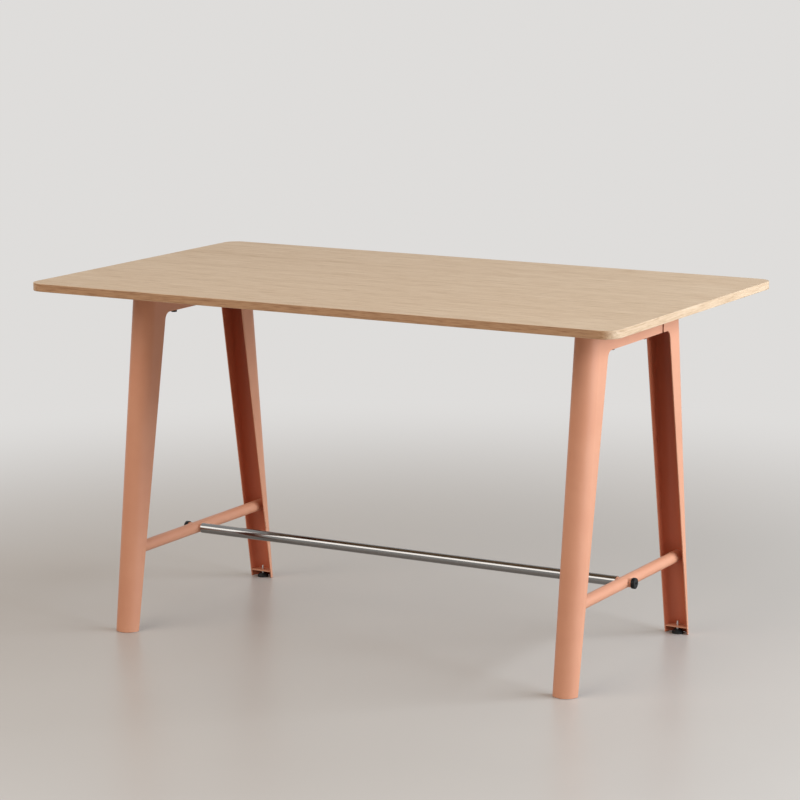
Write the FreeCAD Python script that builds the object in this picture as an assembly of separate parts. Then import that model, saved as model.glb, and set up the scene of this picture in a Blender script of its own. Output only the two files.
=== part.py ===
import FreeCAD
import Part
import math
import os
from FreeCAD import Vector

# High table: an oak-faced board on two folded sheet-steel trestles, with a round footrest bar between them.
# Millimetres. X runs along the table, Y across it, Z up; the origin is on the floor under the middle of the top.

# Table top
TABLE_HEIGHT = 900.0
TOP_LENGTH = 1600.0
TOP_WIDTH = 950.0
TOP_THICKNESS = 20.0
TOP_CORNER_RADIUS = 40.0
TOP_EDGE_ROUNDING = 1.5
LIPPING_THICKNESS = 4.0
VENEER_THICKNESS = 0.6

# Trestles: two folded legs each, whose walls run on as the rail under the top
TRESTLE_INSET = 182.0
LEG_WIDTH = 64.0
SHEET_THICKNESS = 2.5
LEG_FLOOR_GAP = 1.0
FOOT_SPREAD = 352.5
SHOULDER_SPREAD = 247.7
FOOT_DEPTH = 30.0
KNEE_SPREAD = 177.0
KNEE_RADIUS = 20.0
RAIL_DEPTH = 78.0
SEAM_SPREAD = 136.0
SEAM_GAP = 9.0
RAIL_PLATE_LENGTH = 400.0
RAIL_PLATE_THICKNESS = 5.0

# Bolts, their sleeves and the threaded inserts in the board
BOLT_DIAMETER = 8.0
BOLT_HOLE_DIAMETER = 9.0
BOLT_HEAD_CHAMFER = 1.5
HEX_SOCKET_SIZE = 6.0
HEX_SOCKET_DEPTH = 4.5
TOP_BOLT_SPACING = 184.0
TOP_BOLT_HEAD_DIAMETER = 15.0
TOP_BOLT_HEAD_HEIGHT = 8.5
TOP_BOLT_GRIP = 12.0
TOP_SLEEVE_DIAMETER = 18.0
TOP_SLEEVE_DROP = 3.5
INSERT_DIAMETER = 12.0
INSERT_LENGTH = 14.0

# Cross tube of each trestle, and the footrest bar between the trestles
STRETCHER_DIAMETER = 30.0
STRETCHER_WALL = 2.0
FOOTREST_HEIGHT = 204.5
FOOTREST_DIAMETER = 26.0
FOOTREST_WALL = 1.5
SLEEVE_DIAMETER = 22.0
SLEEVE_INNER_STAND_OFF = 4.5
SLEEVE_OUTER_STAND_OFF = 7.0
PLUG_LENGTH = 32.0
FOOTREST_BOLT_GRIP = 20.0
FOOTREST_BOLT_HEAD_DIAMETER = 27.0
FOOTREST_BOLT_HEAD_HEIGHT = 9.5

# Levelling feet
FOOT_PLATE_HEIGHT = 17.0
FOOT_PLATE_THICKNESS = 3.5
FOOT_PLATE_INSET = 0.5
STUD_INSET = 22.5
STUD_DIAMETER = 6.0
STUD_TOP_HEIGHT = 32.0
STUD_SOCKET_SIZE = 3.0
STUD_SOCKET_DEPTH = 3.0
STUD_HEAD_DIAMETER = 10.0
STUD_HEAD_HEIGHT = 2.5
RUNNING_CLEARANCE = 0.06
PAD_DIAMETER = 30.0
PAD_RIM_HEIGHT = 5.0
PAD_HEIGHT = 10.5
PAD_HUB_DIAMETER = 17.0
PAD_FLOOR_THICKNESS = 2.5
PAD_CHAMFER = 1.0

# Heights and directions that follow from the sizes above
TOP_UNDERSIDE = TABLE_HEIGHT - TOP_THICKNESS
TRESTLE_SPACING = TOP_LENGTH - 2 * TRESTLE_INSET
RAIL_BOTTOM = TOP_UNDERSIDE - RAIL_DEPTH
LEG_HEIGHT = TOP_UNDERSIDE - LEG_FLOOR_GAP
LEG_LEAN = math.atan2(FOOT_SPREAD - SHOULDER_SPREAD, LEG_HEIGHT)
LEG_RADIUS = LEG_WIDTH / 2
CHANNEL_RADIUS = LEG_RADIUS - SHEET_THICKNESS
FREE_EDGE_SLOPE = (FOOT_SPREAD - FOOT_DEPTH - KNEE_SPREAD) / (RAIL_BOTTOM - LEG_FLOOR_GAP)
UP = Vector(0, 0, 1)
OUTWARD = Vector(0, math.cos(LEG_LEAN), math.sin(LEG_LEAN))
ALONG_LEG = Vector(0, -math.sin(LEG_LEAN), math.cos(LEG_LEAN))
STUD_SPREAD = FOOT_SPREAD - STUD_INSET


def cylinder(diameter, length, start, direction=UP):
    return Part.makeCylinder(diameter / 2, length, start, direction)


def tube(outer, inner, length, start, direction=UP):
    return cylinder(outer, length, start, direction).cut(cylinder(inner, length, start, direction))


def hexagon_prism(across_flats, length, start, direction):
    radius = across_flats / math.sqrt(3)
    corners = [math.radians(60 * k) for k in range(7)]
    wire = Part.makePolygon([Vector(radius * math.cos(a), radius * math.sin(a), 0) for a in corners])
    prism = Part.Face(wire).extrude(UP * length)
    prism.Placement = FreeCAD.Placement(start, FreeCAD.Rotation(UP, direction))
    return prism


def half_turn(shape):
    turned = shape.copy()
    turned.rotate(Vector(0, 0, 0), UP, 180)
    return turned


def moved(shape, x):
    copy = shape.copy()
    copy.translate(Vector(x, 0, 0))
    return copy


# Table top: a core between two veneers, inside a solid oak lipping.

def rounded_board(length, width, corner_radius, bottom, thickness):
    board = Part.makeBox(length, width, thickness, Vector(-length / 2, -width / 2, bottom))
    upright = [edge for edge in board.Edges if abs(edge.tangentAt(edge.FirstParameter).z) > 0.5]
    return board.makeFillet(corner_radius, upright)


def inner_board(bottom, thickness):
    inset = 2 * LIPPING_THICKNESS
    radius = TOP_CORNER_RADIUS - LIPPING_THICKNESS
    return rounded_board(TOP_LENGTH - inset, TOP_WIDTH - inset, radius, bottom, thickness)


def is_rim(edge, top_or_bottom):
    box = edge.BoundBox
    return abs(box.ZMin - top_or_bottom) < 1e-6 and abs(box.ZMax - top_or_bottom) < 1e-6


def top_lipping():
    board = rounded_board(TOP_LENGTH, TOP_WIDTH, TOP_CORNER_RADIUS, TOP_UNDERSIDE, TOP_THICKNESS)
    rims = [edge for edge in board.Edges if is_rim(edge, TOP_UNDERSIDE) or is_rim(edge, TABLE_HEIGHT)]
    return board.makeFillet(TOP_EDGE_ROUNDING, rims).cut(inner_board(TOP_UNDERSIDE, TOP_THICKNESS))


def top_bolt_places():
    for side in (-1, 1):
        for end in (-1, 1):
            yield side * TRESTLE_SPACING / 2, end * TOP_BOLT_SPACING / 2


def insert_holes():
    return [cylinder(INSERT_DIAMETER, INSERT_LENGTH, Vector(x, y, TOP_UNDERSIDE)) for x, y in top_bolt_places()]


def top_inserts():
    places = [Vector(x, y, TOP_UNDERSIDE) for x, y in top_bolt_places()]
    return [tube(INSERT_DIAMETER, BOLT_DIAMETER, INSERT_LENGTH, place) for place in places]


def table_top():
    core_bottom = TOP_UNDERSIDE + VENEER_THICKNESS
    core = inner_board(core_bottom, TOP_THICKNESS - 2 * VENEER_THICKNESS)
    under = inner_board(TOP_UNDERSIDE, VENEER_THICKNESS)
    return {
        "top_core": [core.cut(insert_holes())],
        "top_face_veneer": [inner_board(TABLE_HEIGHT - VENEER_THICKNESS, VENEER_THICKNESS)],
        "top_under_veneer": [under.cut(insert_holes())],
        "top_lipping": [top_lipping()],
        "top_inserts": top_inserts(),
    }


# Folded leg: a channel with a half-round back that leans inwards, its walls tapered to the foot.
# On one side the wall runs on as the long rail, on the other it ends in a short stub at the seam.

def channel_prism(radius, wall_thickness=None):
    reach = 2 * FOOT_SPREAD
    margin = LEG_HEIGHT / 4
    outer_line = Vector(0, FOOT_SPREAD, LEG_FLOOR_GAP)
    centre = outer_line - OUTWARD * LEG_RADIUS - ALONG_LEG * margin

    def at(x, outward):
        return centre + Vector(x, 0, 0) + OUTWARD * outward

    def bow(r):
        arc = Part.Arc(at(-r, 0), at(0, r), at(r, 0)).toShape()
        walls = [Part.makeLine(at(-r, -reach), at(-r, 0)), arc, Part.makeLine(at(r, 0), at(r, -reach))]
        return Part.Wire(walls + [Part.makeLine(at(r, -reach), at(-r, -reach))])

    prism = Part.Face(bow(radius)).extrude(ALONG_LEG * (LEG_HEIGHT + 2 * margin))
    if wall_thickness is None:
        return prism
    return prism.cut(channel_prism(radius - wall_thickness))


def free_edge_spread(height):
    return KNEE_SPREAD + FREE_EDGE_SLOPE * (RAIL_BOTTOM - height)


def wall_trim(rail_end, side):
    below = -FOOT_DEPTH
    above = TOP_UNDERSIDE + RAIL_DEPTH
    far = -2 * FOOT_SPREAD
    edge_angle = math.pi / 2 - math.atan(FREE_EDGE_SLOPE)
    setback = KNEE_RADIUS / math.tan((math.pi - edge_angle) / 2)
    rail_tangent = Vector(0, KNEE_SPREAD - setback, RAIL_BOTTOM)
    edge_direction = Vector(0, math.cos(edge_angle), -math.sin(edge_angle))
    edge_tangent = Vector(0, KNEE_SPREAD, RAIL_BOTTOM) + edge_direction * setback
    knee_centre = rail_tangent - UP * KNEE_RADIUS
    knee_bisector = (rail_tangent - knee_centre + edge_tangent - knee_centre).normalize()
    knee = Part.Arc(rail_tangent, knee_centre + knee_bisector * KNEE_RADIUS, edge_tangent).toShape()
    corners = [
        edge_tangent,
        Vector(0, free_edge_spread(below), below),
        Vector(0, far, below),
        Vector(0, far, above),
        Vector(0, rail_end, above),
        Vector(0, rail_end, RAIL_BOTTOM),
        rail_tangent,
    ]
    lines = [Part.makeLine(a, b) for a, b in zip(corners, corners[1:])]
    return Part.Face(Part.Wire([knee] + lines)).extrude(Vector(side * LEG_WIDTH, 0, 0))


def folded_leg():
    slab = Part.makeBox(2 * LEG_WIDTH, 4 * FOOT_SPREAD, LEG_HEIGHT, Vector(-LEG_WIDTH, -2 * FOOT_SPREAD, LEG_FLOOR_GAP))
    blank = channel_prism(LEG_RADIUS, SHEET_THICKNESS).common(slab)
    long_rail_end = -SEAM_SPREAD + SEAM_GAP / 2
    short_rail_end = SEAM_SPREAD + SEAM_GAP / 2
    return blank.cut([wall_trim(long_rail_end, -1), wall_trim(short_rail_end, 1)])


# Round-headed bolt with a hex socket; the head's bearing face is at "seat" and the shank runs along "direction".

def bolt(seat, direction, shank_length, head_diameter, head_height):
    head = cylinder(head_diameter, head_height, seat, direction * -1)
    crown = seat - direction * head_height
    rim = [edge for edge in head.Edges if (edge.CenterOfMass - crown).Length < 1e-6]
    head = head.makeChamfer(BOLT_HEAD_CHAMFER, rim)
    head = head.cut(hexagon_prism(HEX_SOCKET_SIZE, HEX_SOCKET_DEPTH, crown, direction))
    return head.fuse(cylinder(BOLT_DIAMETER, shank_length, seat, direction)).removeSplitter()


# Rail plate, the sleeves under it, and the bolts that hold the table top down on it.

def rail_plate():
    width = 2 * CHANNEL_RADIUS
    corner = Vector(-width / 2, -RAIL_PLATE_LENGTH / 2, TOP_UNDERSIDE - RAIL_PLATE_THICKNESS)
    plate = Part.makeBox(width, RAIL_PLATE_LENGTH, RAIL_PLATE_THICKNESS, corner)
    holes = [cylinder(BOLT_HOLE_DIAMETER, RAIL_PLATE_THICKNESS, Vector(0, y, corner.z)) for y in bolt_offsets()]
    return plate.cut(holes)


def bolt_offsets():
    return (-TOP_BOLT_SPACING / 2, TOP_BOLT_SPACING / 2)


def top_sleeve_bottom():
    return RAIL_BOTTOM - TOP_SLEEVE_DROP


def top_sleeves():
    length = TOP_UNDERSIDE - RAIL_PLATE_THICKNESS - top_sleeve_bottom()
    starts = [Vector(0, y, top_sleeve_bottom()) for y in bolt_offsets()]
    return [tube(TOP_SLEEVE_DIAMETER, BOLT_HOLE_DIAMETER, length, start) for start in starts]


def top_bolts():
    shank = TOP_UNDERSIDE + TOP_BOLT_GRIP - top_sleeve_bottom()
    seats = [Vector(0, y, top_sleeve_bottom()) for y in bolt_offsets()]
    return [bolt(seat, UP, shank, TOP_BOLT_HEAD_DIAMETER, TOP_BOLT_HEAD_HEIGHT) for seat in seats]


# Cross tube between the legs: its ends are shaped to the half-round backs of both channels.

def stretcher():
    start = Vector(0, -FOOT_SPREAD, FOOTREST_HEIGHT)
    inner = STRETCHER_DIAMETER - 2 * STRETCHER_WALL
    bar = tube(STRETCHER_DIAMETER, inner, 2 * FOOT_SPREAD, start, Vector(0, 1, 0))
    channel = channel_prism(CHANNEL_RADIUS)
    bar = bar.common(channel).common(half_turn(channel))
    hole_start = Vector(-STRETCHER_DIAMETER, 0, FOOTREST_HEIGHT)
    return bar.cut(cylinder(SLEEVE_DIAMETER, 2 * STRETCHER_DIAMETER, hole_start, Vector(1, 0, 0)))


# Footrest: a bar between two sleeves, each clamped from the outer side of its stretcher by one bolt.

def sleeve_start():
    return -STRETCHER_DIAMETER / 2 - SLEEVE_INNER_STAND_OFF


def sleeve_end():
    return STRETCHER_DIAMETER / 2 + SLEEVE_OUTER_STAND_OFF


def footrest_sleeve(side):
    start = Vector(side * sleeve_start(), 0, FOOTREST_HEIGHT)
    length = sleeve_end() - sleeve_start()
    return tube(SLEEVE_DIAMETER, BOLT_HOLE_DIAMETER, length, start, Vector(side, 0, 0))


def footrest_bolt(side):
    seat = Vector(side * sleeve_end(), 0, FOOTREST_HEIGHT)
    shank = sleeve_end() - sleeve_start() + FOOTREST_BOLT_GRIP
    return bolt(seat, Vector(-side, 0, 0), shank, FOOTREST_BOLT_HEAD_DIAMETER, FOOTREST_BOLT_HEAD_HEIGHT)


def footrest():
    half = TRESTLE_SPACING / 2 + sleeve_start()
    inner = FOOTREST_DIAMETER - 2 * FOOTREST_WALL
    start = Vector(-half, 0, FOOTREST_HEIGHT)
    bar = tube(FOOTREST_DIAMETER, inner, 2 * half, start, Vector(1, 0, 0))
    plugs = []
    for side in (-1, 1):
        end = Vector(side * half, 0, FOOTREST_HEIGHT)
        plugs.append(tube(inner, BOLT_DIAMETER, PLUG_LENGTH, end, Vector(-side, 0, 0)))
    return {"footrest_bar": [bar], "footrest_plugs": plugs}


# Levelling foot: a plate across the channel, a stud screwed through it, and a pad snapped on the stud's round head.

def foot_plate():
    slab_start = Vector(-LEG_WIDTH, 0, FOOT_PLATE_HEIGHT)
    slab = Part.makeBox(2 * LEG_WIDTH, 2 * FOOT_SPREAD, FOOT_PLATE_THICKNESS, slab_start)
    front_edge = free_edge_spread(FOOT_PLATE_HEIGHT) + FOOT_PLATE_INSET
    front = Part.makeBox(2 * LEG_WIDTH, 2 * front_edge, FOOT_PLATE_THICKNESS, slab_start - Vector(0, front_edge, 0))
    plate = channel_prism(CHANNEL_RADIUS).common(slab).cut(front)
    hole = STUD_DIAMETER + 2 * RUNNING_CLEARANCE
    return plate.cut(cylinder(hole, FOOT_PLATE_THICKNESS, Vector(0, STUD_SPREAD, FOOT_PLATE_HEIGHT)))


def revolved(profile):
    points = [Vector(radius, STUD_SPREAD, height) for radius, height in profile]
    face = Part.Face(Part.makePolygon(points + points[:1]))
    return face.revolve(Vector(0, STUD_SPREAD, 0), UP, 360)


def foot_stud():
    shank = STUD_DIAMETER / 2
    head = STUD_HEAD_DIAMETER / 2
    head_bottom = PAD_FLOOR_THICKNESS + RUNNING_CLEARANCE
    head_top = head_bottom + STUD_HEAD_HEIGHT
    profile = [(0, head_bottom), (head, head_bottom), (head, head_top), (shank, head_top)]
    stud = revolved(profile + [(shank, STUD_TOP_HEIGHT), (0, STUD_TOP_HEIGHT)])
    top = Vector(0, STUD_SPREAD, STUD_TOP_HEIGHT)
    return stud.cut(hexagon_prism(STUD_SOCKET_SIZE, STUD_SOCKET_DEPTH, top, UP * -1))


def foot_pad():
    rim = PAD_DIAMETER / 2
    hub = PAD_HUB_DIAMETER / 2
    neck = STUD_DIAMETER / 2 + RUNNING_CLEARANCE
    socket = STUD_HEAD_DIAMETER / 2 + RUNNING_CLEARANCE
    socket_top = PAD_FLOOR_THICKNESS + STUD_HEAD_HEIGHT + 2 * RUNNING_CLEARANCE
    foot = [(0, 0), (rim - PAD_CHAMFER, 0), (rim, PAD_CHAMFER)]
    shoulder = [(rim, PAD_RIM_HEIGHT - PAD_CHAMFER), (rim - PAD_CHAMFER, PAD_RIM_HEIGHT), (hub, PAD_HEIGHT)]
    inside = [(neck, PAD_HEIGHT), (neck, socket_top), (socket, socket_top), (socket, PAD_FLOOR_THICKNESS)]
    return revolved(foot + shoulder + inside + [(0, PAD_FLOOR_THICKNESS)])


# The assembly: both trestles are the same; the front leg is the rear leg turned half round.

def trestle(name, side):
    leg = folded_leg()
    centre = side * TRESTLE_SPACING / 2
    local = {
        "rear_leg": [leg],
        "front_leg": [half_turn(leg)],
        "rail_plate": [rail_plate()],
        "bolt_sleeves": top_sleeves(),
        "top_bolts": top_bolts(),
        "stretcher": [stretcher()],
        "footrest_sleeve": [footrest_sleeve(side)],
        "footrest_bolt": [footrest_bolt(side)],
    }
    foot = {"foot_plate": foot_plate(), "foot_stud": foot_stud(), "foot_pad": foot_pad()}
    for piece, shape in foot.items():
        local["rear_" + piece] = [shape]
        local["front_" + piece] = [half_turn(shape)]
    return {name + "_" + piece: [moved(shape, centre) for shape in shapes] for piece, shapes in local.items()}


nodes = table_top()
nodes.update(trestle("left", -1))
nodes.update(trestle("right", 1))
nodes.update(footrest())

os.makedirs("parts", exist_ok=True)
for node, shapes in nodes.items():
    solids = [solid for shape in shapes for solid in shape.Solids]
    whole = solids[0] if len(solids) == 1 else Part.makeCompound(solids)
    whole.exportStep("parts/" + node + ".step")
    volumes = ", ".join("%.0f" % solid.Volume for solid in solids)
    print(node, "solids", len(solids), "valid", whole.isValid(), "mm3", volumes)
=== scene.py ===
import math

import bmesh
import bpy
from mathutils import Matrix, Vector


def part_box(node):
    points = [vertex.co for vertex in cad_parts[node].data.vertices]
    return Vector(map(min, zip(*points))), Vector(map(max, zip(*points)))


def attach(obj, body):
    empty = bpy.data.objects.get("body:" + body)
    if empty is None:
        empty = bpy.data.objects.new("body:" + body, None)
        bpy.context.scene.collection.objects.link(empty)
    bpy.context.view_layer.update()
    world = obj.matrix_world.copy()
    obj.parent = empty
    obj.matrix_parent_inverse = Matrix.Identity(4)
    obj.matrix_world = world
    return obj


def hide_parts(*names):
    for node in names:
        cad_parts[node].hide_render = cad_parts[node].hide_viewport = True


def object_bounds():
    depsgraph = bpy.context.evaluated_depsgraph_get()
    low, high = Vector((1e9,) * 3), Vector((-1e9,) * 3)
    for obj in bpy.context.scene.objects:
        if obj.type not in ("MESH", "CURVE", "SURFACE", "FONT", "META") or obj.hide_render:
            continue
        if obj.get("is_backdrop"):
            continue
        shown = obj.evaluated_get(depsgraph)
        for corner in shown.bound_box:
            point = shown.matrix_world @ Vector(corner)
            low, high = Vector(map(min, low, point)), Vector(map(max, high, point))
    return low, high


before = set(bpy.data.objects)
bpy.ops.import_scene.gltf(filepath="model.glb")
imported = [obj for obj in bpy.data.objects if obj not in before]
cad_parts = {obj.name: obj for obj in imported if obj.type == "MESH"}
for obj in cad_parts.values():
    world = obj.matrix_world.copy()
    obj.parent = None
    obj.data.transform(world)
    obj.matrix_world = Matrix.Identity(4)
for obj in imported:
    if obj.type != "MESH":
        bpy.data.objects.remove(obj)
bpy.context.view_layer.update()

# Folded legs: two to a trestle, each one blank of 2.5 mm sheet steel rolled round at the back, with its
# walls running on as the rail under the top. They are welded up, blasted and powder-coated in coral,
# which leaves a matt skin with a faint orange peel and softens every cut edge.

MM = 0.001
SIDES = {"left": -1, "right": 1}
ENDS = ("front", "rear")
CUT_EDGE_ROUNDING = 0.7 * MM
SHARP_FOLD = math.radians(50)
CHANNEL_HALF_WIDTH = 29.8 * MM
FACING_IN_SPAN = (0.1, 0.3)

CORAL = (0.615, 0.282, 0.167, 1.0)
CORAL_DEEP = (0.585, 0.258, 0.150, 1.0)
# A darker coral, painted shade for the inner faces of the channels.
CORAL_PAINTED_SHADE = (0.530, 0.145, 0.072, 1.0)
COAT_CLOUDS_PER_METRE = 9.0
COAT_SPECKS_PER_METRE = 2600.0
COAT_CLOUD_SHARE = 0.7
COAT_TONE_SPAN = (0.36, 0.64)
COAT_ROUGHNESS = (0.40, 0.48)
COAT_GLOSS = 0.32
PEEL_SIZE = 1.6 * MM
PEEL_DEPTH = 0.025 * MM
NOISE_REACH = (0.2, 0.8)


class Shade:
    """A shader socket that can be used in sums; Math nodes are added as the sum is written."""

    def __init__(self, tree, socket=None):
        self.tree = tree
        self.socket = socket

    def node(self, kind, settings=None, inputs=None, output=0):
        """Adds a node with its settings, then the values or links of its inputs, and gives one output."""
        made = self.tree.nodes.new(kind)
        for name, value in (settings or {}).items():
            if name == "stops":
                ramp = made.color_ramp
                while len(ramp.elements) < len(value):
                    ramp.elements.new(0.5)
                for element, (place, colour) in zip(ramp.elements, value):
                    element.position = place
                    element.color = (*colour, 1.0)
            else:
                setattr(made, name, value)
        for key, value in (inputs or {}).items():
            if isinstance(value, Shade):
                self.tree.links.new(value.socket, made.inputs[key])
            else:
                made.inputs[key].default_value = value
        return Shade(self.tree, made.outputs[output])

    def sum(self, operation, first, second=0.0):
        return self.node("ShaderNodeMath", {"operation": operation}, {0: first, 1: second})

    def __add__(self, other):
        return self.sum("ADD", self, other)

    def __radd__(self, other):
        return self.sum("ADD", other, self)

    def __sub__(self, other):
        return self.sum("SUBTRACT", self, other)

    def __rsub__(self, other):
        return self.sum("SUBTRACT", other, self)

    def __mul__(self, other):
        return self.sum("MULTIPLY", self, other)

    def __rmul__(self, other):
        return self.sum("MULTIPLY", other, self)

    def __truediv__(self, other):
        return self.sum("DIVIDE", self, other)

    def __rtruediv__(self, other):
        return self.sum("DIVIDE", other, self)


def new_finish(name):
    """A fresh material: its tree as a Shade, its surface shader and the place on the object in metres."""
    material = bpy.data.materials.new(name)
    material.use_nodes = True
    shade = Shade(material.node_tree)
    skin = material.node_tree.nodes["Principled BSDF"]
    place = shade.node("ShaderNodeTexCoord", output="Object")
    return material, shade, skin, place


def feed(node, socket, value):
    """Links a varying value to a socket of a node, or sets a plain one on it."""
    if isinstance(value, Shade):
        value.tree.links.new(value.socket, node.inputs[socket])
    else:
        node.inputs[socket].default_value = value


def noise(shade, place, scale, detail=2.0, roughness=0.5):
    inputs = {"Vector": place, "Scale": scale, "Detail": detail, "Roughness": roughness}
    return shade.node("ShaderNodeTexNoise", inputs=inputs)


def between(shade, value, span, to=(0.0, 1.0)):
    """Maps a value smoothly from one range to another and holds it at the ends."""
    inputs = {0: value, 1: span[0], 2: span[1], 3: to[0], 4: to[1]}
    return shade.node("ShaderNodeMapRange", {"interpolation_type": "SMOOTHSTEP"}, inputs)


def mixed(shade, factor, first, second, how="MIX"):
    """Mixes two colours; sockets 6 and 7 of the node are its colours and output 2 is the result."""
    settings = {"data_type": "RGBA", "blend_type": how}
    return shade.node("ShaderNodeMix", settings, {0: factor, 6: first, 7: second}, output=2)


def bumped(shade, skin, height, depth):
    """Raises the surface by a height of 0 to 1 times a depth in metres."""
    bump = shade.node("ShaderNodeBump", inputs={"Strength": 1.0, "Distance": depth, "Height": height})
    feed(skin, "Normal", bump)


def axis_of(shade, vector, axis):
    return shade.node("ShaderNodeSeparateXYZ", inputs={0: vector}, output=axis)


def channel_shade_mask(shade, place, trestle_x):
    """Painted shade mask: 1 on the folded channels' inner faces, 0 on their outer faces and cut edges."""
    normal = shade.node("ShaderNodeNewGeometry", output="Normal")
    x = axis_of(shade, place, "X")
    y = axis_of(shade, place, "Y")
    across = shade.sum("ABSOLUTE", x) - trestle_x
    across_in = across * axis_of(shade, normal, "X") * shade.sum("SIGN", x) / -CHANNEL_HALF_WIDTH
    inward = axis_of(shade, normal, "Y") * shade.sum("SIGN", y) * -1.0
    between_walls = shade.sum("LESS_THAN", shade.sum("ABSOLUTE", across), CHANNEL_HALF_WIDTH)
    return between(shade, shade.sum("MAXIMUM", across_in, inward), FACING_IN_SPAN) * between_walls


def coral_paint(name, trestle_x=None):
    """The coat; on the inner faces of the channels its coral is darkened with painted shade."""
    material, shade, skin, place = new_finish(name)
    cloud = noise(shade, place, COAT_CLOUDS_PER_METRE, detail=3.0)
    speck = noise(shade, place, COAT_SPECKS_PER_METRE, detail=1.0)
    patches = cloud * COAT_CLOUD_SHARE + speck * (1 - COAT_CLOUD_SHARE)
    coat = mixed(shade, between(shade, patches, COAT_TONE_SPAN), CORAL_DEEP, CORAL)
    if trestle_x:
        # Painted shade: the inner faces of the channels take the darker coral.
        coat = mixed(shade, channel_shade_mask(shade, place, trestle_x), coat, CORAL_PAINTED_SHADE)
    feed(skin, "Base Color", coat)
    feed(skin, "Roughness", between(shade, speck, NOISE_REACH, COAT_ROUGHNESS))
    feed(skin, "Specular IOR Level", COAT_GLOSS)
    peel = noise(shade, place, 1 / PEEL_SIZE, roughness=0.6)
    bumped(shade, skin, peel, PEEL_DEPTH)
    return material


def finish(node, material):
    """Gives a CAD node its finish in place of the plain one it was packed with."""
    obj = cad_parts[node]
    obj.data.materials.clear()
    obj.data.materials.append(material)
    return obj


def soften(obj, width):
    """Rounds the sharp edges of a CAD node."""
    bevel = obj.modifiers.new("soft edges", "BEVEL")
    bevel.width = width
    bevel.segments = 2
    bevel.limit_method = "ANGLE"
    bevel.angle_limit = SHARP_FOLD
    bevel.harden_normals = True
    bevel.use_clamp_overlap = True


leg_low, leg_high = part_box("right_front_leg")
# The legs' coat darkens the inner faces of the channels with painted shade.
CORAL_COAT_WITH_CHANNEL_SHADE = coral_paint("coral_coat_painted_channel_shade", trestle_x=(leg_low[0] + leg_high[0]) / 2)
for side in SIDES:
    for end in ENDS:
        leg = finish(side + "_" + end + "_leg", CORAL_COAT_WITH_CHANNEL_SHADE)
        soften(leg, CUT_EDGE_ROUNDING)

# Rail plates, stretchers and sleeves: flat bar, round tube and turned sleeves for the bolts and for the
# footrest bar. They are welded between the legs of each trestle before it is coated, so they carry the
# same coral skin.

CORAL_COAT = coral_paint("coral_powder_coat")
for side in SIDES:
    for kind in ("rail_plate", "bolt_sleeves", "stretcher", "footrest_sleeve"):
        finish(side + "_" + kind, CORAL_COAT)

# Weld beads: where each footrest sleeve passes through its stretcher the joint is welded all round and
# ground smooth, and the coat leaves a small hollow fillet there.

BEAD_REACH = 2.4 * MM
BEAD_STEPS = 5
BEAD_ROUND_STEPS = 48
SAME_POINT = 1e-7


def add_piece(name, mesh, material, body, replaced=()):
    """Makes an object of a mesh, with its finish, the body it rides on and the CAD nodes it stands for."""
    bm = bmesh.new()
    bm.from_mesh(mesh)
    bmesh.ops.remove_doubles(bm, verts=bm.verts, dist=SAME_POINT)
    bmesh.ops.holes_fill(bm, edges=[edge for edge in bm.edges if edge.is_boundary])
    bmesh.ops.recalc_face_normals(bm, faces=bm.faces)
    bm.to_mesh(mesh)
    bm.free()
    mesh.materials.append(material)
    obj = bpy.data.objects.new(name, mesh)
    bpy.context.collection.objects.link(obj)
    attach(obj, body)
    if replaced:
        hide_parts(*replaced)
    return obj


def grid_mesh(name, rows, closed_round=True):
    """A mesh from rows of points, each row joined to the next; the rows may close round."""
    verts = [point for row in rows for point in row]
    width = len(rows[0])
    faces = []
    for r in range(len(rows) - 1):
        for c in range(width if closed_round else width - 1):
            d = (c + 1) % width
            faces.append((r * width + c, r * width + d, (r + 1) * width + d, (r + 1) * width + c))
    mesh = bpy.data.meshes.new(name)
    mesh.from_pydata(verts, [], faces)
    mesh.polygons.foreach_set("use_smooth", [True] * len(mesh.polygons))
    return mesh


def corner_curve(toe, corner, heel, steps):
    """Points of a hollow curve from toe to heel that leans towards the corner."""
    points = []
    for k in range(steps + 1):
        t = k / steps
        points.append(toe * (1 - t) ** 2 + corner * (2 * t * (1 - t)) + heel * t ** 2)
    return points


def sleeve_bead(side, outward):
    """A ring round the sleeve on one side of the stretcher, closed along its hidden corner."""
    low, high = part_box(side + "_stretcher")
    centre = Vector(((low[0] + high[0]) / 2, 0.0, (low[2] + high[2]) / 2))
    tube_radius = (high[0] - low[0]) / 2
    sleeve_low, sleeve_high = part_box(side + "_footrest_sleeve")
    sleeve_radius = (sleeve_high[1] - sleeve_low[1]) / 2

    def on_tube(radius, angle, lift=0.0):
        y = radius * math.cos(angle)
        z = radius * math.sin(angle)
        x = math.sqrt(tube_radius ** 2 - z ** 2) + lift
        return centre + Vector((outward * x, y, z))

    sections = []
    for k in range(BEAD_ROUND_STEPS):
        angle = 2 * math.pi * k / BEAD_ROUND_STEPS
        corner = on_tube(sleeve_radius, angle)
        toe = on_tube(sleeve_radius, angle, BEAD_REACH)
        heel = on_tube(sleeve_radius + BEAD_REACH, angle)
        sections.append(corner_curve(toe, corner, heel, BEAD_STEPS) + [corner, toe])
    return grid_mesh(side + "_bead", [list(row) for row in zip(*sections)])


for side, sign in SIDES.items():
    for where, outward in (("outer", sign), ("inner", -sign)):
        bead = sleeve_bead(side, outward)
        add_piece(side + "_" + where + "_weld_bead", bead, CORAL_COAT, body="frame")

# Levelling feet: a coated plate welded across each channel, a zinc-plated M6 stud screwed up through it,
# and a black moulded pad that is snapped on the stud's round head and stands on the floor.

PLATE_EDGE_ROUNDING = 0.5 * MM
TURNED_EDGE = 0.4 * MM
STUD_STEPS = 24
STUD_HEAD_HEIGHT = 2.5 * MM
STUD_SOCKET = 3.0 * MM
STUD_SOCKET_DEPTH = 3.0 * MM
SOCKET_LEAD_SHARE = 0.06
SOCKET_TIP_SHARE = 0.2
CRISP_TURN = math.radians(40)

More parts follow.
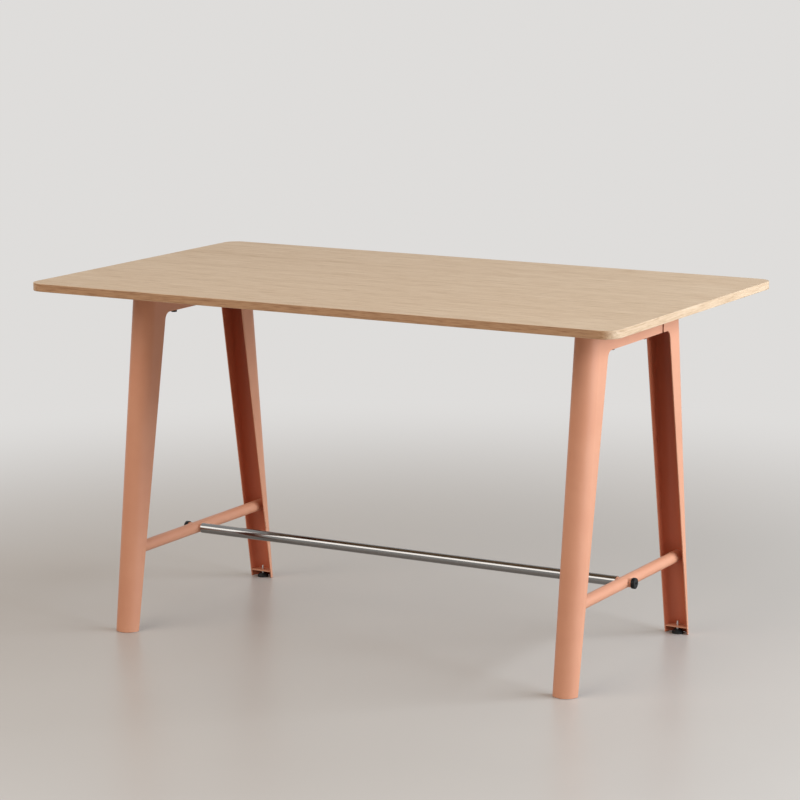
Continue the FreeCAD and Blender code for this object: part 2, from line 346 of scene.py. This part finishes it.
THREAD_PITCH = 1.0 * MM
THREAD_RADIUS = 2.95 * MM
THREAD_ROOT_RADIUS = 2.42 * MM
THREAD_SINK = 0.02 * MM
THREAD_RUN_OUT = 1.2 * THREAD_PITCH
THREAD_ABOVE_HEAD = 1.0 * MM
THREAD_BELOW_TIP = 0.6 * MM
# Share of the pitch and share of the thread's depth, from root to crest and back.
THREAD_PROFILE = ((0.0, 0.0), (0.12, 0.0), (0.44, 1.0), (0.56, 1.0), (0.88, 0.0))

ZINC_DULL = (0.70, 0.70, 0.69, 1.0)
ZINC_BRIGHT = (0.84, 0.84, 0.82, 1.0)
ZINC_CLOUDS_PER_METRE = 240.0
ZINC_ROUGHNESS = (0.24, 0.40)
MOULDING_BLACK = (0.008, 0.008, 0.008, 1.0)
MOULDING_GREY = (0.015, 0.015, 0.015, 1.0)
MOULDING_GRAINS_PER_METRE = 1800.0
MOULDING_GRAIN_DEPTH = 0.04 * MM
MOULDING_ROUGHNESS = (0.42, 0.58)
MOULDING_GLOSS = 0.25
NOISE_CORE = (0.3, 0.7)


def zinc_plate():
    material, shade, skin, place = new_finish("bright_zinc")
    cloud = noise(shade, place, ZINC_CLOUDS_PER_METRE, detail=3.0)
    feed(skin, "Base Color", mixed(shade, cloud, ZINC_DULL, ZINC_BRIGHT))
    feed(skin, "Roughness", between(shade, cloud, NOISE_CORE, ZINC_ROUGHNESS))
    feed(skin, "Metallic", 1.0)
    return material


def black_moulding():
    material, shade, skin, place = new_finish("black_moulding")
    grain = noise(shade, place, MOULDING_GRAINS_PER_METRE)
    feed(skin, "Base Color", mixed(shade, grain, MOULDING_BLACK, MOULDING_GREY))
    feed(skin, "Roughness", between(shade, grain, NOISE_CORE, MOULDING_ROUGHNESS))
    feed(skin, "Specular IOR Level", MOULDING_GLOSS)
    bumped(shade, skin, grain, MOULDING_GRAIN_DEPTH)
    return material


def ring(radius, height, steps):
    angles = [2 * math.pi * k / steps for k in range(steps)]
    return [Vector((radius * math.cos(a), radius * math.sin(a), height)) for a in angles]


def hexagon_ring(across_flats, height, steps):
    """As many points as a round ring has, laid on a hexagon."""
    points = []
    for k in range(steps):
        angle = 2 * math.pi * k / steps
        from_flat = (angle + math.pi / 6) % (math.pi / 3) - math.pi / 6
        radius = across_flats / 2 / math.cos(from_flat)
        points.append(Vector((radius * math.cos(angle), radius * math.sin(angle), height)))
    return points


def socketed_rows(profile, across_flats, depth, steps):
    """A turned body from its profile of radius and height, ending in a hex socket at the top."""
    top = profile[-1][1]
    lead = SOCKET_LEAD_SHARE * across_flats
    tip = SOCKET_TIP_SHARE * across_flats
    rows = [ring(radius, height, steps) for radius, height in profile]
    rows.append(hexagon_ring(across_flats + 2 * lead, top, steps))
    rows.append(hexagon_ring(across_flats, top - lead, steps))
    rows.append(hexagon_ring(across_flats, top - depth, steps))
    rows.append(ring(0.0, top - depth - tip, steps))
    return rows


def thread_rows(bottom, top):
    """Rows that climb with the thread; the ends run out into the core."""
    crest_lift = THREAD_RADIUS - THREAD_ROOT_RADIUS
    turns = round((top - bottom) / THREAD_PITCH)
    rows = []
    for turn in range(turns):
        for share, lift in THREAD_PROFILE:
            row = []
            for k in range(STUD_STEPS + 1):
                height = bottom + (turn + share + k / STUD_STEPS) * THREAD_PITCH
                from_ends = min(height - bottom, top - height)
                fade = max(0.0, min(1.0, from_ends / THREAD_RUN_OUT))
                radius = THREAD_ROOT_RADIUS - THREAD_SINK + crest_lift * lift * fade
                angle = 2 * math.pi * k / STUD_STEPS
                row.append(Vector((radius * math.cos(angle), radius * math.sin(angle), min(height, top))))
            rows.append(row)
    return rows


def join_meshes(name, meshes):
    bm = bmesh.new()
    for mesh in meshes:
        bm.from_mesh(mesh)
        bpy.data.meshes.remove(mesh)
    joined = bpy.data.meshes.new(name)
    bm.to_mesh(joined)
    bm.free()
    return joined


def moved_mesh(mesh, matrix):
    mesh.transform(matrix)
    return mesh


def stud_mesh(name, low, high):
    """A threaded stud with a round head at its foot and a hex socket in its upper end."""
    centre = Vector(((low[0] + high[0]) / 2, (low[1] + high[1]) / 2, 0.0))
    head = (high[0] - low[0]) / 2
    head_top = low[2] + STUD_HEAD_HEIGHT
    root = THREAD_ROOT_RADIUS
    profile = [
        (0.0, low[2]),
        (head - TURNED_EDGE, low[2]),
        (head, low[2] + TURNED_EDGE),
        (head, head_top - TURNED_EDGE),
        (head - TURNED_EDGE, head_top),
        (root, head_top),
        (root, high[2] - TURNED_EDGE),
        (root - TURNED_EDGE, high[2]),
    ]
    core = grid_mesh("core", socketed_rows(profile, STUD_SOCKET, STUD_SOCKET_DEPTH, STUD_STEPS))
    climb = thread_rows(head_top + THREAD_ABOVE_HEAD, high[2] - THREAD_BELOW_TIP)
    thread = grid_mesh("thread", climb, closed_round=False)
    return moved_mesh(join_meshes(name, [core, thread]), Matrix.Translation(centre))


ZINC = zinc_plate()
MOULDING = black_moulding()
for side in SIDES:
    for end in ENDS:
        foot = side + "_" + end
        plate = finish(foot + "_foot_plate", CORAL_COAT)
        soften(plate, PLATE_EDGE_ROUNDING)
        finish(foot + "_foot_pad", MOULDING)
        stud = stud_mesh(foot + "_stud", *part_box(foot + "_foot_stud"))
        piece = add_piece(foot + "_threaded_stud", stud, ZINC, body=foot + "_stud",
                          replaced=[foot + "_foot_stud"])
        piece.data.set_sharp_from_angle(angle=CRISP_TURN)

# Footrest bar: stainless tube with a threaded plug in each end, polished lengthways, which the bolts
# pull against the sleeves.

STEEL_DARK = (0.22, 0.218, 0.215, 1.0)
STEEL_LIGHT = (0.29, 0.287, 0.283, 1.0)
STEEL_ROUGHNESS = (0.08, 0.15)
POLISH_LINE_DEPTH = 0.004 * MM


def drawn_noise(shade, place, along, across, detail=2.0, roughness=0.5):
    """Noise drawn out along the place's X axis; along and across say how often it changes in a metre."""
    inputs = {0: place, 1: (along, across, across)}
    stretched = shade.node("ShaderNodeVectorMath", {"operation": "MULTIPLY"}, inputs)
    return noise(shade, stretched, 1.0, detail, roughness)


def polished_steel():
    material, shade, skin, place = new_finish("drawn_stainless")
    lines = drawn_noise(shade, place, along=6.0, across=2400.0, detail=3.0)
    feed(skin, "Base Color", mixed(shade, lines, STEEL_DARK, STEEL_LIGHT))
    feed(skin, "Roughness", between(shade, lines, NOISE_CORE, STEEL_ROUGHNESS))
    feed(skin, "Metallic", 1.0)
    bumped(shade, skin, lines, POLISH_LINE_DEPTH)
    return material


finish("footrest_bar", polished_steel())
finish("footrest_plugs", ZINC)

# Bolts: black-oxide steel with a wide round head and a hex socket. Two go up into the top from each
# trestle and one into each end of the footrest bar.

BOLT_STEPS = 48
BOLT_SHANK_RADIUS = 3.95 * MM
BOLT_SOCKET = 6.0 * MM
BOLT_SOCKET_DEPTH = 4.5 * MM
TOP_BOLT_HEAD_HEIGHT = 8.5 * MM
FOOTREST_BOLT_HEAD_HEIGHT = 9.5 * MM
CROWN_ROUNDING = 1.6 * MM
CROWN_STEPS = 6
OXIDE_BLACK = (0.004, 0.004, 0.004, 1.0)
OXIDE_GREY = (0.010, 0.010, 0.011, 1.0)
OXIDE_CLOUDS_PER_METRE = 700.0
OXIDE_ROUGHNESS = (0.36, 0.5)
OXIDE_GLOSS = 0.18


def black_oxide():
    material, shade, skin, place = new_finish("black_oxide")
    cloud = noise(shade, place, OXIDE_CLOUDS_PER_METRE, detail=3.0)
    feed(skin, "Base Color", mixed(shade, cloud, OXIDE_BLACK, OXIDE_GREY))
    feed(skin, "Roughness", between(shade, cloud, NOISE_CORE, OXIDE_ROUGHNESS))
    feed(skin, "Specular IOR Level", OXIDE_GLOSS)
    return material


def bolt_mesh(name, head, head_height, shank_length, seat, shank_direction):
    """A round-headed bolt whose head bears at the seat, with its crown edge rounded."""
    shank = BOLT_SHANK_RADIUS
    profile = [
        (0.0, -shank_length),
        (shank - TURNED_EDGE, -shank_length),
        (shank, TURNED_EDGE - shank_length),
        (shank, 0.0),
        (head - TURNED_EDGE, 0.0),
        (head, TURNED_EDGE),
    ]
    for k in range(CROWN_STEPS + 1):
        angle = math.pi / 2 * k / CROWN_STEPS
        radius = head - CROWN_ROUNDING + CROWN_ROUNDING * math.cos(angle)
        height = head_height - CROWN_ROUNDING + CROWN_ROUNDING * math.sin(angle)
        profile.append((radius, height))
    mesh = grid_mesh(name, socketed_rows(profile, BOLT_SOCKET, BOLT_SOCKET_DEPTH, BOLT_STEPS))
    turn = Vector((0.0, 0.0, -1.0)).rotation_difference(Vector(shank_direction)).to_matrix().to_4x4()
    return moved_mesh(mesh, Matrix.Translation(seat) @ turn)


OXIDE = black_oxide()
for side, sign in SIDES.items():
    low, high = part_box(side + "_top_bolts")
    head = (high[0] - low[0]) / 2
    upward = (0.0, 0.0, 1.0)
    bolts = []
    for y in (low[1] + head, high[1] - head):
        seat = Vector(((low[0] + high[0]) / 2, y, low[2] + TOP_BOLT_HEAD_HEIGHT))
        bolts.append(bolt_mesh("bolt", head, TOP_BOLT_HEAD_HEIGHT, high[2] - seat[2], seat, upward))
    pair = join_meshes(side + "_bolts", bolts)
    piece = add_piece(side + "_round_top_bolts", pair, OXIDE, body="frame",
                      replaced=[side + "_top_bolts"])
    piece.data.set_sharp_from_angle(angle=CRISP_TURN)

    low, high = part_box(side + "_footrest_bolt")
    head = (high[2] - low[2]) / 2
    outer_face = high[0] if sign > 0 else low[0]
    seat_x = outer_face - sign * FOOTREST_BOLT_HEAD_HEIGHT
    seat = Vector((seat_x, (low[1] + high[1]) / 2, (low[2] + high[2]) / 2))
    shank_length = high[0] - low[0] - FOOTREST_BOLT_HEAD_HEIGHT
    inward = (-sign, 0.0, 0.0)
    single = bolt_mesh(side + "_bolt", head, FOOTREST_BOLT_HEAD_HEIGHT, shank_length, seat, inward)
    piece = add_piece(side + "_round_footrest_bolt", single, OXIDE, body="frame",
                      replaced=[side + "_footrest_bolt"])
    piece.data.set_sharp_from_angle(angle=CRISP_TURN)

# Table top: a fibre board core between oak veneers, inside a solid oak lipping with softened edges.
# The face is oak laid with its fine straight grain along the table, under a matt lacquer. Threaded
# inserts in the core take the top bolts.

OAK_LIGHT = (0.660, 0.495, 0.335)
OAK_MID = (0.585, 0.415, 0.262)
OAK_DARK = (0.420, 0.268, 0.150)
OAK_STOPS = [(0.38, OAK_DARK), (0.49, OAK_MID), (0.59, OAK_LIGHT)]
BAND_SHARE = 0.13
RING_SHARE = 0.17
FIGURE_SHARE = 0.34
STREAK_SHARE = 0.21
FIBRE_SHARE = 0.15
TONE_LIFT = 0.008
DASH_SPAN = (0.585, 0.66)
DASH_DEPTH = 0.06
PORE_SPAN = (0.58, 0.70)
PORE_DARKNESS = 0.38
PORE_DULLNESS = 0.1
FIBRE_HEIGHT = 0.4
GRAIN_DEPTH = 0.05 * MM
LACQUER_TONE_SPAN = (0.35, 0.65)
LACQUER_ROUGHNESS = (0.58, 0.46)

# Painted shade for the lipping's long edges; the end faces get only a little of it.
LONG_EDGE_PAINTED_SHADE = (0.665, 0.495, 0.37, 1.0)
NO_PAINTED_SHADE = (1.0, 1.0, 1.0, 1.0)
END_FACE_SPAN = (0.2, 0.95)
CORNER_SPAN = (0.69, 0.72)
TOP_FACE_SPAN = (0.4, 0.8)
END_FACE_SHADE_LOSS = 0.8
LONG_EDGE_STREAKS = 0.85
END_STREAK_LOSS = 0.55
NOISE_MIDDLE = 0.5

BOARD_DARK = (0.26, 0.17, 0.10, 1.0)
BOARD_LIGHT = (0.42, 0.29, 0.18, 1.0)
BOARD_CHIPS_PER_METRE = 520.0
BOARD_CHIP_DEPTH = 0.1 * MM
BOARD_ROUGHNESS = (0.75, 0.9)


def grain_tone(shade, place):
    """Light and dark of the grain, from broad bands to single fibres, and the dark open pores."""
    bands = drawn_noise(shade, place, along=0.7, across=20.0, detail=3.0)
    rings = drawn_noise(shade, place, along=0.6, across=130.0, detail=3.0, roughness=0.6)
    figure = drawn_noise(shade, place, along=8.0, across=170.0, detail=3.0, roughness=0.6)
    streaks = drawn_noise(shade, place, along=11.0, across=430.0, roughness=0.6)
    fibres = drawn_noise(shade, place, along=32.0, across=1300.0, roughness=0.6)
    flecks = drawn_noise(shade, place, along=46.0, across=1500.0, detail=1.0)
    smudges = drawn_noise(shade, place, along=13.0, across=160.0)
    broad = bands * BAND_SHARE + rings * RING_SHARE + figure * FIGURE_SHARE
    tone = broad + streaks * STREAK_SHARE + fibres * FIBRE_SHARE + TONE_LIFT
    dashes = between(shade, smudges, DASH_SPAN)
    pores = between(shade, flecks, PORE_SPAN)
    return tone - dashes * DASH_DEPTH, fibres, pores


def oak_body(shade, tone):
    return shade.node("ShaderNodeValToRGB", {"stops": OAK_STOPS}, {0: tone})


def lacquered(shade, skin, body, tone, fibres, pores):
    """Lacquer over the wood: the pores stay open and dark, and darker wood shines less."""
    feed(skin, "Base Color", mixed(shade, pores * PORE_DARKNESS, body, (*OAK_DARK, 1.0)))
    shine = tone - pores * PORE_DULLNESS
    feed(skin, "Roughness", between(shade, shine, LACQUER_TONE_SPAN, LACQUER_ROUGHNESS))
    bumped(shade, skin, fibres * FIBRE_HEIGHT - pores, GRAIN_DEPTH)


def oak_veneer():
    material, shade, skin, place = new_finish("oak_veneer")
    tone, fibres, pores = grain_tone(shade, place)
    lacquered(shade, skin, oak_body(shade, tone), tone, fibres, pores)
    return material


def oak_lipping():
    """On top the lipping goes on with the veneer's grain; on its sides the grain runs along each edge."""
    material, shade, skin, place = new_finish("oak_lipping")
    normal = shade.node("ShaderNodeNewGeometry", output="Normal")
    lengthways = shade.sum("ABSOLUTE", axis_of(shade, normal, "X"))
    upwards = shade.sum("ABSOLUTE", axis_of(shade, normal, "Z"))
    end_face = between(shade, lengthways, END_FACE_SPAN)
    past_corner = between(shade, lengthways, CORNER_SPAN)
    side_face = between(shade, upwards, TOP_FACE_SPAN, (1.0, 0.0))
    turned = shade.node("ShaderNodeVectorRotate", {"rotation_type": "Z_AXIS"},
                        {"Vector": place, "Angle": math.pi / 2})
    along_edge = shade.node("ShaderNodeMix", {"data_type": "VECTOR"},
                            {0: past_corner, 4: place, 5: turned}, output=1)
    tone, fibres, pores = grain_tone(shade, along_edge)
    edge_streaks = drawn_noise(shade, along_edge, along=24.0, across=600.0, detail=3.0, roughness=0.6)
    strength = LONG_EDGE_STREAKS - end_face * END_STREAK_LOSS
    tone = tone + (edge_streaks - NOISE_MIDDLE) * side_face * strength
    # Painted shade: the long sides of the lipping are darkened, the end faces much less.
    edge_shade = mixed(shade, side_face * (1 - end_face * END_FACE_SHADE_LOSS), NO_PAINTED_SHADE, LONG_EDGE_PAINTED_SHADE)
    body = mixed(shade, 1.0, oak_body(shade, tone), edge_shade, "MULTIPLY")
    lacquered(shade, skin, body, tone, fibres, pores)
    return material


def fibre_board():
    material, shade, skin, place = new_finish("fibre_board")
    chips = noise(shade, place, BOARD_CHIPS_PER_METRE, detail=4.0, roughness=0.7)
    feed(skin, "Base Color", mixed(shade, chips, BOARD_DARK, BOARD_LIGHT))
    feed(skin, "Roughness", between(shade, chips, NOISE_CORE, BOARD_ROUGHNESS))
    bumped(shade, skin, chips, BOARD_CHIP_DEPTH)
    return material


OAK_VENEER = oak_veneer()
finish("top_face_veneer", OAK_VENEER)
finish("top_under_veneer", OAK_VENEER)
finish("top_lipping", oak_lipping())
finish("top_core", fibre_board())
finish("top_inserts", ZINC)

# Floor: a plain pale floor under the table, sealed and faintly glossy, which is part of the stage. It
# keeps the table's shadow, and away from the table it fades into the background, so no horizon shows.

BACKGROUND = (0.735, 0.722, 0.708, 1.0)
FLOOR = (0.455, 0.412, 0.370, 1.0)
FLOOR_PALE = (0.505, 0.460, 0.415, 1.0)
FLOOR_MOTTLES_PER_METRE = 1.8
FLOOR_ROUGHNESS = (0.31, 0.38)
FLOOR_GLOSS = 0.3
FLOOR_REACH = 60.0
FADE_SPAN = (1.0, 3.3)


def seen_or_mirrored(shade):
    """1 for what the camera sees, directly or in a reflection, and 0 for light that falls on the table."""
    directly = shade.node("ShaderNodeLightPath", output="Is Camera Ray")
    mirrored = shade.node("ShaderNodeLightPath", output="Is Glossy Ray")
    through = shade.node("ShaderNodeLightPath", output="Is Transmission Ray")
    return shade.sum("MAXIMUM", shade.sum("MAXIMUM", directly, mirrored), through)


def pale_floor():
    material, shade, skin, place = new_finish("pale_floor")
    mottle = noise(shade, place, FLOOR_MOTTLES_PER_METRE, detail=3.0)
    feed(skin, "Base Color", mixed(shade, mottle, FLOOR, FLOOR_PALE))
    feed(skin, "Roughness", between(shade, mottle, NOISE_REACH, FLOOR_ROUGHNESS))
    feed(skin, "Specular IOR Level", FLOOR_GLOSS)
    distance = shade.node("ShaderNodeVectorMath", {"operation": "LENGTH"}, {0: place}, output="Value")
    fade = between(shade, distance, FADE_SPAN) * seen_or_mirrored(shade)
    near = Shade(material.node_tree, skin.outputs["BSDF"])
    far = shade.node("ShaderNodeEmission", inputs={"Color": BACKGROUND, "Strength": 1.0})
    faded = shade.node("ShaderNodeMixShader", inputs={0: fade, 1: near, 2: far})
    feed(material.node_tree.nodes["Material Output"], "Surface", faded)
    return material


floor_mesh = bpy.data.meshes.new("floor")
corners = [(x * FLOOR_REACH, y * FLOOR_REACH, 0.0) for x, y in ((-1, -1), (1, -1), (1, 1), (-1, 1))]
floor_mesh.from_pydata(corners, [], [(0, 1, 2, 3)])
floor = bpy.data.objects.new("floor", floor_mesh)
floor.data.materials.append(pale_floor())
bpy.context.collection.objects.link(floor)
floor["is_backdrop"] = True

# Light: a plain pale background that also gives a dim warm fill, a little brighter from above. A large
# cool soft box stands to the right and a large warm one in front, as windows would.

FILL = (1.0, 0.93, 0.86, 1.0)
FILL_STRENGTH = 0.215
FILL_LEAN = (0.06, 0.0, 0.38)
DIMMEST_FILL = 0.12
COOL_DAYLIGHT = (0.86, 1.0, 1.15)
WARM_DAYLIGHT = (1.0, 0.945, 0.885)

world = bpy.data.worlds.new("studio")
bpy.context.scene.world = world
world.use_nodes = True
studio = Shade(world.node_tree)
sky = world.node_tree.nodes["Background"]
seen = seen_or_mirrored(studio)
outwards = studio.node("ShaderNodeTexCoord", output="Generated")
lean = studio.node("ShaderNodeVectorMath", {"operation": "DOT_PRODUCT"},
                   {0: outwards, 1: FILL_LEAN}, output="Value")
glow = studio.sum("MAXIMUM", lean + FILL_STRENGTH, DIMMEST_FILL)
feed(sky, "Color", mixed(studio, seen, FILL, BACKGROUND))
feed(sky, "Strength", glow + seen * (1 - glow))


def soft_box(name, place, aim, width, height, power, colour):
    light = bpy.data.lights.new(name, "AREA")
    light.shape = "RECTANGLE"
    light.size = width
    light.size_y = height
    light.energy = power
    light.color = colour
    obj = bpy.data.objects.new(name, light)
    obj.location = place
    obj.rotation_euler = (Vector(aim) - Vector(place)).to_track_quat("-Z", "Y").to_euler()
    obj.visible_camera = False
    bpy.context.collection.objects.link(obj)


soft_box("window_right", place=(4.6, 0.8, 2.3), aim=(0.2, 0.0, 0.6), width=5.0, height=1.8, power=320.0,
         colour=COOL_DAYLIGHT)
soft_box("window_front", place=(-2.0, -4.6, 3.5), aim=(0.0, 0.0, 0.6), width=5.6, height=3.0, power=152.0,
         colour=WARM_DAYLIGHT)

# Camera: it stands at the photograph's viewing angle, off the table's right front corner, and looks
# slightly down. The focal length is given in pixels of the square picture.

CAMERA_PLACE = (3.4514, -6.2364, 1.9046)
CAMERA_TURN = 0.5061
CAMERA_TILT = -0.1811
FOCAL_PIXELS = 2889.9
PICTURE_PIXELS = 800
SENSOR_WIDTH = 36.0

lens = bpy.data.cameras.new("camera")
lens.sensor_width = SENSOR_WIDTH
lens.lens = FOCAL_PIXELS / PICTURE_PIXELS * SENSOR_WIDTH
camera = bpy.data.objects.new("camera", lens)
camera.location = CAMERA_PLACE
camera.rotation_euler = (math.pi / 2 + CAMERA_TILT, 0.0, CAMERA_TURN)
bpy.context.collection.objects.link(camera)
bpy.context.scene.camera = camera
bpy.context.scene.view_settings.view_transform = "Standard"

# The box round the dressed model, the floor left out.
low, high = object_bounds()
